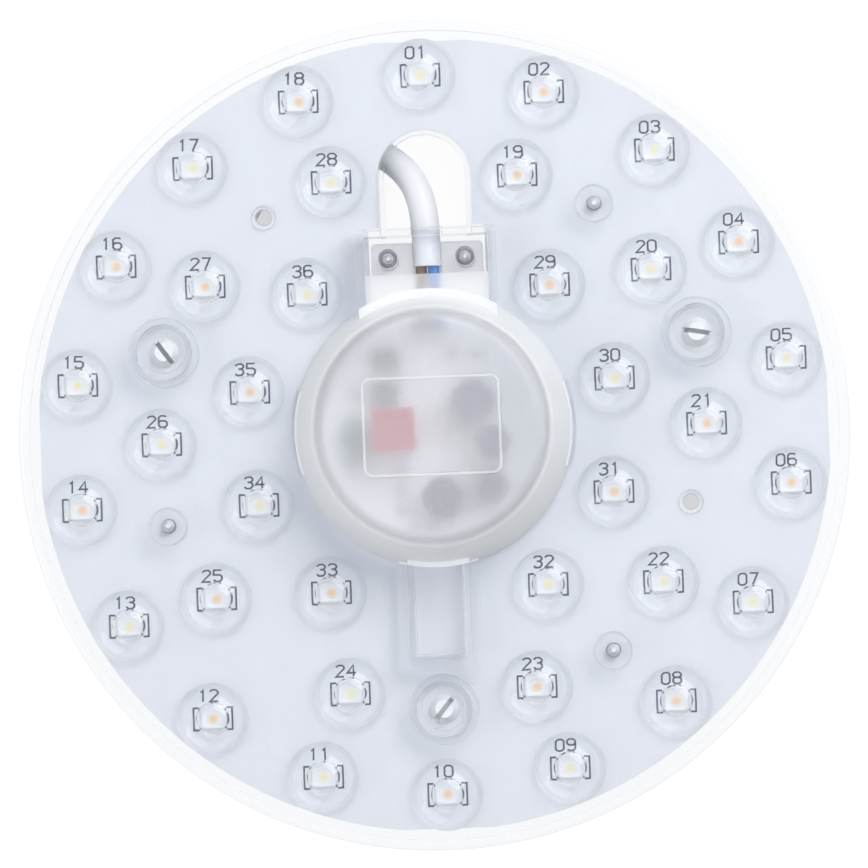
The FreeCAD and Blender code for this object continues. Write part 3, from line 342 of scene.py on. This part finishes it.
def milky_clamp():
    """Natural nylon, moulded: lets light through and blurs it, so the clamp looks like grey ice."""
    material, tree, output = new_material("natural_nylon")
    whole = object_axes(tree)[0]
    cloud = grain_noise(tree, whole, 1.5 * MM)
    surface = add_node(tree, "ShaderNodeBsdfPrincipled", None, {
        "Base Color": blend(tree, cloud, linear("#F2F3F5"), linear("#FAFBFC")),
        "Roughness": 0.3, "IOR": 1.53, "Transmission Weight": 0.7,
    })
    let_light_through(tree, surface, linear("#ECEEF0"), output)
    return material


def seen_directly(tree, path, *kinds):
    """1 for rays of the named kinds that have met no matt surface, so plain white lights nothing."""
    share = (path, "Is Camera Ray")
    for kind in kinds:
        share = maths(tree, "MAXIMUM", share, (path, kind))
    first = maths(tree, "LESS_THAN", (path, "Diffuse Depth"), 0.5)
    return maths(tree, "MULTIPLY", share, first)


# Painted shade on the paper: within this radius under the module, but for its cord slot, the paper glows
# dimmer in place of the module's shadow. Sizes in metres, and how bright the paper glows in the open and in
# the painted shade
PAINTED_SHADE_RADIUS = 68 * MM
SLOT_HALF = 20 * MM
SLOT_START = 20 * MM
OPEN_GLOW = 0.93
PAINTED_SHADE_GLOW = 0.66


def backdrop_material(colour):
    """Seamless white paper: plain white to the eye and through glass, with a faint shadow on it, and a
    painted shade: a dimmer glow under the module, but for its cord slot.
    """
    material, tree, output = new_material("white_paper_with_painted_shade")
    path = add_node(tree, "ShaderNodeLightPath")
    paper = add_node(tree, "ShaderNodeBsdfDiffuse", None, {"Color": linear("#F4F5F6")})
    veil = add_node(tree, "ShaderNodeBsdfDiffuse", None, {"Color": linear("#606163")})
    whole, x, y, _ = object_axes(tree)
    reach = add_node(tree, "ShaderNodeVectorMath", {"operation": "LENGTH"}, {0: whole})
    # Painted shade: the paper glows fully beyond the radius and in the cord slot, and dimmer elsewhere under
    # the module, in place of the module's shadow
    clear = maths(tree, "GREATER_THAN", (reach, "Value"), PAINTED_SHADE_RADIUS)
    in_slot = maths(tree, "MULTIPLY", maths(tree, "LESS_THAN", maths(tree, "ABSOLUTE", x), SLOT_HALF),
                    maths(tree, "GREATER_THAN", y, SLOT_START))
    share = maths(tree, "MAXIMUM", clear, in_slot)
    glow_with_painted_shade = maths(tree, "MULTIPLY_ADD", share, OPEN_GLOW - PAINTED_SHADE_GLOW, PAINTED_SHADE_GLOW)
    glow = add_node(tree, "ShaderNodeEmission", None, {"Color": linear(colour), "Strength": glow_with_painted_shade})
    both = add_node(tree, "ShaderNodeAddShader", None, {0: (veil, "BSDF"), 1: (glow, "Emission")})
    seen = seen_directly(tree, path, "Is Glossy Ray", "Is Transmission Ray")
    mix = add_node(tree, "ShaderNodeMixShader", None, {0: seen, 1: (paper, "BSDF"), 2: (both, "Shader")})
    tree.links.new(mix.outputs["Shader"], output.inputs["Surface"])
    return material


# Mesh helpers


def new_mesh(name, points, faces, materials, face_kinds=None, replaces=(), sharp=35.0):
    """An object at the origin from arrays of points and of triangles or quads, riding the module."""
    mesh = bpy.data.meshes.new(name)
    mesh.from_pydata(np.asarray(points).tolist(), [], [list(face) for face in faces])
    for material in materials:
        mesh.materials.append(material)
    if face_kinds is not None:
        mesh.polygons.foreach_set("material_index", np.asarray(face_kinds, dtype=np.int32))
    mesh.polygons.foreach_set("use_smooth", np.ones(len(mesh.polygons), dtype=bool))
    mesh.set_sharp_from_angle(angle=math.radians(sharp))
    mesh.update()
    obj = bpy.data.objects.new(name, mesh)
    bpy.context.scene.collection.objects.link(obj)
    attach(obj, "root")
    if replaces:
        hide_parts(*replaces)
    return obj


def ring_faces(rings, count):
    """Quads between successive closed rings of points, outside first and going inwards over the top."""
    index = np.arange(count)
    after = (index + 1) % count
    faces = []
    for ring in range(rings - 1):
        low, high = ring * count, (ring + 1) * count
        faces.append(np.stack([low + index, low + after, high + after, high + index], axis=1))
    return np.concatenate(faces)


# LEDs


# Longer than one LED's diagonal, and shorter than the way to the next
LED_REACH = 6 * MM


def led_places():
    """Middles of the LEDs of each kind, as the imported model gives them, in metres.

    Points less than one reach from the first point left are one LED, whose middle is that of its box.
    """
    places = {}
    for node in ("leds_cool", "leds_warm"):
        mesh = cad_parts[node].data
        points = np.empty(len(mesh.vertices) * 3)
        mesh.vertices.foreach_get("co", points)
        points = points.reshape(-1, 3)
        middles = []
        while len(points):
            near = np.hypot(*(points - points[0])[:, :2].T) < LED_REACH
            middles.append((points[near].min(axis=0) + points[near].max(axis=0)) / 2)
            points = points[~near]
        places[node] = np.array(middles)
    return places


# One LED package as rings from its foot up over the rim and into the cup, in millimetres: half length,
# half width, height above the board, and how square the ring is
LED_RINGS = (
    (1.75, 1.40, 0.00, 9.0),
    (1.75, 1.40, 0.16, 9.0),
    (1.69, 1.34, 0.62, 9.0),
    (1.63, 1.28, 0.68, 8.0),
    (1.32, 1.06, 0.68, 3.2),
    (1.24, 0.98, 0.58, 3.0),
    (0.95, 0.80, 0.60, 2.4),
    (0.60, 0.55, 0.62, 2.0),
    (0.28, 0.28, 0.63, 2.0),
)
LED_SIDES = 40
FIRST_PHOSPHOR_RING = 5


def led_shape():
    """One package about its own middle: superellipse rings |x/a|^n + |y/b|^n = 1, and a cap on the die.

    A ring's points at turn t are x = a sgn(cos t) |cos t|^(2/n) and y = b sgn(sin t) |sin t|^(2/n).
    """
    turn = np.arange(LED_SIDES) / LED_SIDES * 2 * np.pi
    rings = []
    for half_length, half_width, height, square in LED_RINGS:
        x = half_length * np.sign(np.cos(turn)) * np.abs(np.cos(turn)) ** (2 / square)
        y = half_width * np.sign(np.sin(turn)) * np.abs(np.sin(turn)) ** (2 / square)
        rings.append(np.stack([x, y, np.full(LED_SIDES, height)], axis=1))
    points = np.concatenate(rings + [np.array([[0.0, 0.0, LED_RINGS[-1][2]]])])
    quads = ring_faces(len(rings), LED_SIDES)
    last = (len(rings) - 1) * LED_SIDES
    index = np.arange(LED_SIDES)
    middle = np.full(LED_SIDES, len(points) - 1)
    cap = np.stack([last + index, last + (index + 1) % LED_SIDES, middle], axis=1)
    kinds = (np.repeat(np.arange(len(rings) - 1), LED_SIDES) >= FIRST_PHOSPHOR_RING).astype(int)
    return points, quads, cap, kinds


class MODULE_OT_leds(bpy.types.Operator):
    """LED packages with their cups of phosphor, in place of the model's plain blocks"""

    bl_idname = "module.leds"
    bl_label = "LEDs"

    def execute(self, context):
        colours = context.scene.module_colours
        # Moulded white PPA resin: chalky white with a dull shine
        white = plain_material("white_led_package", colours.package, 1.0 * MM, 0.02, 0.0, Roughness=0.38)
        shape, quads, cap, kinds = led_shape()
        for kind, colour in (("cool", colours.cool), ("warm", colours.warm)):
            phosphor = phosphor_material(f"led_{kind}_phosphor", colour, colours.package)
            middles = led_places()["leds_" + kind]
            points, faces, all_kinds = [], [], []
            for i, middle in enumerate(middles):
                points.append(shape * MM + np.array([middle[0], middle[1], BOARD_TOP]))
                offset = i * len(shape)
                faces += (quads + offset).tolist() + (cap + offset).tolist()
                all_kinds += kinds.tolist() + [1] * len(cap)
            obj = new_mesh("led_packages_" + kind, np.concatenate(points), faces, (white, phosphor),
                           all_kinds, replaces=("leds_" + kind,), sharp=30.0)
            mesh = obj.data
            loops = np.empty(len(mesh.loops), dtype=np.int32)
            mesh.loops.foreach_get("vertex_index", loops)
            layer = mesh.uv_layers.new(name="from_die")
            from_die = np.tile(shape[:, :2], (len(middles), 1))
            layer.data.foreach_set("uv", from_die[loops].ravel())
        return {"FINISHED"}


# Print on the board

# Stroke digits on a grid 4 wide and 6 high, each stroke a list of corners, and the step to the next digit
DIGIT_WIDTH = 4.0
DIGIT_GRID = 6.0
DIGIT_STEP = 5.6
DIGITS = {
    "0": [[(1, 0), (3, 0), (4, 1), (4, 5), (3, 6), (1, 6), (0, 5), (0, 1), (1, 0)]],
    "1": [[(1, 4.8), (2.2, 6), (2.2, 0)]],
    "2": [[(0, 5), (1, 6), (3, 6), (4, 5), (4, 4), (0, 0), (4, 0)]],
    "3": [[(0, 5), (1, 6), (3, 6), (4, 5), (4, 4), (3, 3.2), (1.5, 3.2)],
          [(3, 3.2), (4, 2.2), (4, 1), (3, 0), (1, 0), (0, 1)]],
    "4": [[(3, 0), (3, 6), (0, 1.8), (4.2, 1.8)]],
    "5": [[(4, 6), (0.2, 6), (0, 3.4), (3, 3.4), (4, 2.6), (4, 1), (3, 0), (1, 0), (0, 1)]],
    "6": [[(3.8, 5.4), (3, 6), (1, 6), (0, 5), (0, 1), (1, 0), (3, 0), (4, 1), (4, 2.4), (3, 3.3), (1, 3.3),
           (0, 2.4)]],
    "7": [[(0, 6), (4, 6), (1.4, 0)]],
    "8": [[(1, 3.2), (0, 4), (0, 5), (1, 6), (3, 6), (4, 5), (4, 4), (3, 3.2), (1, 3.2), (0, 2.3), (0, 1),
           (1, 0), (3, 0), (4, 1), (4, 2.3), (3, 3.2)]],
    "9": [[(0.2, 0.6), (1, 0), (3, 0), (4, 1), (4, 5), (3, 6), (1, 6), (0, 5), (0, 3.7), (1, 2.8), (3, 2.8),
           (4, 3.7)]],
}


MITRE_LEAST = 0.35


def ribbon(corners, width):
    """A flat band along a polyline: its left and right points, and its quads.

    A corner's points lie half a width out along the sum of its two runs' normals, over the sum's share along
    the first, and no sharper than MITRE_LEAST.
    """
    path = np.array(corners, dtype=float)
    runs = np.diff(path, axis=0)
    runs /= np.linalg.norm(runs, axis=1)[:, None]
    across = np.stack([-runs[:, 1], runs[:, 0]], axis=1)
    before = np.concatenate([across[:1], across])
    after = np.concatenate([across, across[-1:]])
    mitre = before + after
    mitre /= np.maximum(np.sum(mitre * before, axis=1), MITRE_LEAST)[:, None]
    points = np.empty((2 * len(path), 2))
    points[0::2] = path + mitre * width / 2
    points[1::2] = path - mitre * width / 2
    index = 2 * np.arange(len(path) - 1)
    return points, np.stack([index, index + 1, index + 3, index + 2], axis=1)


def print_lines(name, lines, width, material, height):
    """Many printed lines as one thin mesh just above the board."""
    points, faces, count = [], [], 0
    for line in lines:
        flat, quads = ribbon(line, width)
        points.append(flat)
        faces += (quads + count).tolist()
        count += len(flat)
    flat = np.concatenate(points)
    raised = np.column_stack([flat, np.full(len(flat), height)])
    return new_mesh(name, raised, faces, (material,))


def number_lines(text, middle, height):
    """The strokes of a number, centred on a point."""
    unit = height / DIGIT_GRID
    pitch = DIGIT_STEP * unit
    start = middle[0] - (pitch * len(text) - (DIGIT_STEP - DIGIT_WIDTH) * unit) / 2
    lines = []
    for place, digit in enumerate(text):
        for stroke in DIGITS[digit]:
            corner = np.array([start + place * pitch, middle[1] - height / 2])
            lines.append(np.array(stroke) * unit + corner)
    return lines


# Printed brackets and the number beside one LED, in metres from its middle, and how high the ink stands
BRACKET_HALF_LENGTH = 2.8 * MM
BRACKET_HALF_WIDTH = 1.6 * MM
BRACKET_RETURN = 0.8 * MM
NUMBER_RISE = 3.4 * MM
NUMBER_SHIFT = -0.6 * MM
INK_RISE = 0.01 * MM
RING_STEP = 4 * MM


def clockwise_order(middles):
    """The LEDs' order from the outer ring to the inner one, and clockwise from the top in each."""
    ring = np.round(np.hypot(middles[:, 0], middles[:, 1]) / RING_STEP)
    clock = np.mod(np.arctan2(middles[:, 0], middles[:, 1]), 2 * np.pi)
    return np.lexsort((np.round(clock, 3), -ring))


class MODULE_OT_print(bpy.types.Operator):
    """Printed brackets and plain numbers beside the LEDs"""

    bl_idname = "module.print"
    bl_label = "Board print"

    def execute(self, context):
        colours, sizes = context.scene.module_colours, context.scene.module_sizes
        # Screen-printed epoxy ink: dark, matt and a little uneven
        ink = plain_material("dark_board_ink", colours.ink, 0.5 * MM, 0.1, 0.0, Roughness=0.6)
        middles = np.concatenate(list(led_places().values()))[:, :2]
        lines = []
        for number, which in enumerate(clockwise_order(middles), start=1):
            x, y = middles[which]
            for side in (-1, 1):
                inner = x + side * (BRACKET_HALF_LENGTH - BRACKET_RETURN)
                outer = x + side * BRACKET_HALF_LENGTH
                high, low = y + BRACKET_HALF_WIDTH, y - BRACKET_HALF_WIDTH
                lines.append([(inner, high), (outer, high), (outer, low), (inner, low)])
            lines += number_lines(f"{number:02d}", (x + NUMBER_SHIFT, y + NUMBER_RISE), sizes.digit_height)
        print_lines("board_print", lines, sizes.ink_width, ink, BOARD_TOP + INK_RISE)
        return {"FINISHED"}


# Cord: its route repeats the model's, point for point, in metres
CORD_POINTS = (
    (0.0, 0.0310, 0.0126),
    (0.0, 0.0378, 0.0126),
    (-0.0006, 0.0431, 0.0111),
    (-0.0022, 0.0474, 0.0086),
    (-0.0050, 0.0509, 0.0060),
    (-0.0093, 0.0537, 0.0041),
    (-0.0151, 0.0551, 0.0031),
    (-0.0220, 0.0541, 0.0027),
    (-0.0291, 0.0499, 0.0027),
    (-0.0346, 0.0427, 0.0027),
    (-0.0373, 0.0336, 0.0027),
    (-0.0366, 0.0241, 0.0027),
    (-0.0324, 0.0152, 0.0027),
    (-0.0252, 0.0082, 0.0027),
    (-0.0157, 0.0040, 0.0027),
    (-0.0055, 0.0034, 0.0027),
    (0.0038, 0.0064, 0.0027),
    (0.0114, 0.0128, 0.0027),
    (0.0162, 0.0214, 0.0027),
)
CORD_DIAMETER = 5.3 * MM


class MODULE_OT_cord(bpy.types.Operator):
    """The supply cord's sheath along its route"""

    bl_idname = "module.cord"
    bl_label = "Supply cord"

    def execute(self, context):
        colours = context.scene.module_colours
        # Extruded soft PVC: white, a little waxy and let into by light
        sheath = plain_material("white_pvc", colours.sheath, 0.6 * MM, 0.015, 0.05, Roughness=0.4,
                                **{"Subsurface Weight": 0.15, "Subsurface Scale": 1.5 * MM})
        curve = bpy.data.curves.new("supply_cord", "CURVE")
        curve.dimensions = "3D"
        curve.bevel_depth = CORD_DIAMETER / 2
        curve.bevel_resolution = 8
        curve.resolution_u = 10
        curve.use_fill_caps = True
        spline = curve.splines.new("NURBS")
        spline.points.add(len(CORD_POINTS) - 1)
        for point, place in zip(spline.points, CORD_POINTS):
            point.co = (*place, 1.0)
        spline.order_u = 3
        spline.use_endpoint_u = True
        cord = bpy.data.objects.new("supply_cord", curve)
        context.scene.collection.objects.link(cord)
        curve.materials.append(sheath)
        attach(cord, "root")
        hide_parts("cord_sheath")
        # The cores' PVC is smoother and shinier than the sheath's
        for name, colour in (("brown", colours.brown), ("blue", colours.blue)):
            core = plain_material(name + "_core_pvc", colour, 0.5 * MM, 0.03, 0.0, Roughness=0.35)
            dress(core, "core_" + name, "core_" + name + "_end")
        return {"FINISHED"}


class MODULE_OT_plate(bpy.types.Operator):
    """Finish of the clear lens plate and its frosted dome"""

    bl_idname = "module.plate"
    bl_label = "Lens plate"

    def execute(self, context):
        sizes = context.scene.module_sizes
        dress(clear_acrylic(sizes.frost, sizes.haze, sizes.wall_haze), "lens_plate")
        return {"FINISHED"}


class MODULE_OT_board(bpy.types.Operator):
    """Finish of the LED board"""

    bl_idname = "module.board"
    bl_label = "LED board"

    def execute(self, context):
        dress(board_material(context.scene.module_colours.board), "led_board")
        return {"FINISHED"}


# The driver's finishes: name, colour, grain in metres, mottling, relief, other values, and the nodes
DRIVER_FINISHES = (
    # Rolled film: milky and even, with slow soft clouds
    ("white_polyester_film", "#F3F4F7", 4 * MM, 0.02, 0.0, {"Roughness": 0.4}, ("insulating_film",)),
    # Solder mask: smooth white with a soft shine
    ("white_driver_mask", "#F1F3F7", 3 * MM, 0.03, 0.0, {"Roughness": 0.35}, ("driver_board",)),
    # Shrunk PVC sleeve: dark blue and shiny
    ("blue_black_sleeve", "#434D6A", 2 * MM, 0.06, 0.0, {"Roughness": 0.3},
     ("bulk_capacitor", "output_capacitor")),
    # Sintered ferrite: dull, dark and grainy
    ("black_ferrite", "#2C3658", 0.5 * MM, 0.12, 0.2, {"Roughness": 0.6}, ("driver_choke", "filter_choke")),
    # Moulded epoxy: black, matt, finely pitted
    ("black_epoxy", "#2A3148", 0.4 * MM, 0.08, 0.1, {"Roughness": 0.5}, ("bridge_rectifier", "driver_chip")),
    # Baked lacquer: grey-blue, half matt
    ("resistor_lacquer", "#5F7486", 0.6 * MM, 0.06, 0.0, {"Roughness": 0.4}, ("fuse_resistor",)),
    # Glazed thick film: near black
    ("resistor_black", "#34363C", 0.3 * MM, 0.06, 0.0, {"Roughness": 0.45}, ("chip_resistors",)),
    # Molten tin, cooled: bright, softly rippled
    ("bright_tin", "#C9CCD0", 0.2 * MM, 0.06, 0.1, {"Roughness": 0.25, "Metallic": 1.0},
     ("link_pins", "solder_joints", "tinned_ends")),
)


class MODULE_OT_driver(bpy.types.Operator):
    """Finishes of the driver under the frosted dome"""

    bl_idname = "module.driver"
    bl_label = "Driver"

    def execute(self, context):
        for name, colour, grain, spread, bump, values, nodes in DRIVER_FINISHES:
            dress(plain_material(name, colour, grain, spread, bump, **values), *nodes)
        # Dipped epoxy: glossy red, a little cloudy
        red = plain_material("red_epoxy", context.scene.module_colours.red, 1 * MM, 0.05, 0.0, Roughness=0.25)
        dress(red, "film_capacitor")
        return {"FINISHED"}


class MODULE_OT_fixings(bpy.types.Operator):
    """Finishes of feet, magnets, screws and clamp"""

    bl_idname = "module.fixings"
    bl_label = "Feet, magnets, screws and clamp"

    def execute(self, context):
        # Moulded nylon: white with a dull shine and a fine skin
        nylon = plain_material("white_nylon", "#F2F3F5", 0.8 * MM, 0.02, 0.05, Roughness=0.38)
        dress(nylon, *(f"magnet_foot_{i}" for i in (1, 2, 3)))
        # Plated nickel: warm bright metal
        nickel = plain_material("bright_nickel", "#C8C3B8", 0.8 * MM, 0.05, 0.08,
                                Roughness=0.18, Metallic=1.0)
        dress(nickel, *(f"magnet_{i}" for i in (1, 2, 3)))
        # Dipped zinc-flake coat: pale grey flakes in a clear binder, so it shines only a little
        zinc = plain_material("zinc_flake_coat", "#E8EAED", 0.5 * MM, 0.04, 0.1,
                              Roughness=0.42, Metallic=0.25)
        dress(zinc, "board_screws", "clamp_screws")
        dress(milky_clamp(), "cord_clamp")
        return {"FINISHED"}


FLOOR_REACH = 3.0
FLOOR_DROP = 0.05 * MM

# Soft boxes: name, place and size in metres, and power in watts
SOFT_BOXES = (
    ("key_softbox", (0.55, 0.66, 1.0), 0.9, 7.5),
    ("fill_softbox", (-1.0, -0.1, 0.8), 0.8, 2.5),
)

# The photograph looks down, leaning a little to the right and to the front, and turned about its axis
LEAN_RIGHT = math.radians(1.4)
LEAN_FRONT = math.radians(2.5)
ROLL = math.radians(2.2)
AIM_HEIGHT = PLATE_FOOT + 2 * MM

# The photograph's width, and the plate's width in it, in pixels
PHOTO_WIDTH = 868
PLATE_WIDTH_IN_PHOTO = 831.4
SENSOR_WIDTH = 36.0


def make_floor(scene, colour):
    """A wide flat sheet of paper just under the module."""
    corners = [(x * FLOOR_REACH, y * FLOOR_REACH, 0.0) for x, y in ((-1, -1), (1, -1), (1, 1), (-1, 1))]
    mesh = bpy.data.meshes.new("floor")
    mesh.from_pydata(corners, [], [(0, 1, 2, 3)])
    floor = bpy.data.objects.new("floor", mesh)
    floor.location.z = -FLOOR_DROP
    scene.collection.objects.link(floor)
    use_material(floor, backdrop_material(colour))


def make_world(scene, colour):
    """Even soft light from all round, which shows as plain white to the eye and in gloss and glass."""
    world = bpy.data.worlds.new("studio")
    world.use_nodes = True
    tree = world.node_tree
    tree.nodes.clear()
    output = tree.nodes.new("ShaderNodeOutputWorld")
    path = add_node(tree, "ShaderNodeLightPath")
    light = add_node(tree, "ShaderNodeBackground", None, {"Color": linear("#F7F8FA"), "Strength": 0.73})
    white = add_node(tree, "ShaderNodeBackground", None, {"Color": linear(colour), "Strength": 1.0})
    seen = seen_directly(tree, path, "Is Glossy Ray", "Is Transmission Ray")
    ends = {0: seen, 1: (light, "Background"), 2: (white, "Background")}
    mix = add_node(tree, "ShaderNodeMixShader", None, ends)
    tree.links.new(mix.outputs["Shader"], output.inputs["Surface"])
    scene.world = world


def make_camera(scene, distance):
    """A camera at the photograph's angle, whose field of view gives the plate its width in the photograph."""
    target = Vector((0.0, 0.0, AIM_HEIGHT))
    lean = Vector((math.tan(LEAN_RIGHT), -math.tan(LEAN_FRONT), 1.0)).normalized()
    up = Vector((math.sin(ROLL), math.cos(ROLL), 0.0))
    right = up.cross(lean).normalized()
    above = lean.cross(right).normalized()
    data = bpy.data.cameras.new("camera")
    data.sensor_width = SENSOR_WIDTH
    data.lens = SENSOR_WIDTH * distance / (2 * PLATE_RADIUS * PHOTO_WIDTH / PLATE_WIDTH_IN_PHOTO)
    data.clip_start = 0.01
    camera = bpy.data.objects.new("camera", data)
    turn = Matrix((right, above, lean)).transposed().to_4x4()
    camera.matrix_world = Matrix.Translation(target + lean * distance) @ turn
    scene.collection.objects.link(camera)
    scene.camera = camera


class MODULE_OT_stage(bpy.types.Operator):
    """Floor, lights and camera"""

    bl_idname = "module.stage"
    bl_label = "Stage"

    def execute(self, context):
        scene = context.scene
        make_floor(scene, scene.module_colours.backdrop)
        make_world(scene, scene.module_colours.backdrop)
        for name, place, size, power in SOFT_BOXES:
            data = bpy.data.lights.new(name, "AREA")
            data.size = size
            data.energy = power
            lamp = bpy.data.objects.new(name, data)
            lamp.location = place
            lamp.rotation_euler = (-Vector(place)).to_track_quat("-Z", "Y").to_euler()
            scene.collection.objects.link(lamp)
        make_camera(scene, scene.module_sizes.camera_distance)
        scene.view_settings.view_transform = "Standard"
        return {"FINISHED"}


OPERATORS = (
    MODULE_OT_board, MODULE_OT_print, MODULE_OT_leds, MODULE_OT_driver, MODULE_OT_plate, MODULE_OT_cord,
    MODULE_OT_fixings, MODULE_OT_stage,
)


class MODULE_PT_panel(bpy.types.Panel):
    """The module's builders in the sidebar"""

    bl_idname = "MODULE_PT_panel"
    bl_label = "LED module"
    bl_space_type = "VIEW_3D"
    bl_region_type = "UI"
    bl_category = "LED module"

    def draw(self, context):
        for operator in OPERATORS:
            self.layout.operator(operator.bl_idname)


CLASSES = (ModuleSizes, ModuleColours) + OPERATORS + (MODULE_PT_panel,)


def register():
    for item in CLASSES:
        bpy.utils.register_class(item)
    bpy.types.Scene.module_sizes = bpy.props.PointerProperty(type=ModuleSizes)
    bpy.types.Scene.module_colours = bpy.props.PointerProperty(type=ModuleColours)


def unregister():
    del bpy.types.Scene.module_sizes
    del bpy.types.Scene.module_colours
    for item in reversed(CLASSES):
        bpy.utils.unregister_class(item)


def main():
    """Register the classes and build everything in order."""
    register()
    for operator in OPERATORS:
        getattr(bpy.ops.module, operator.bl_idname.split(".")[1])()


if __name__ == "__main__":
    main()
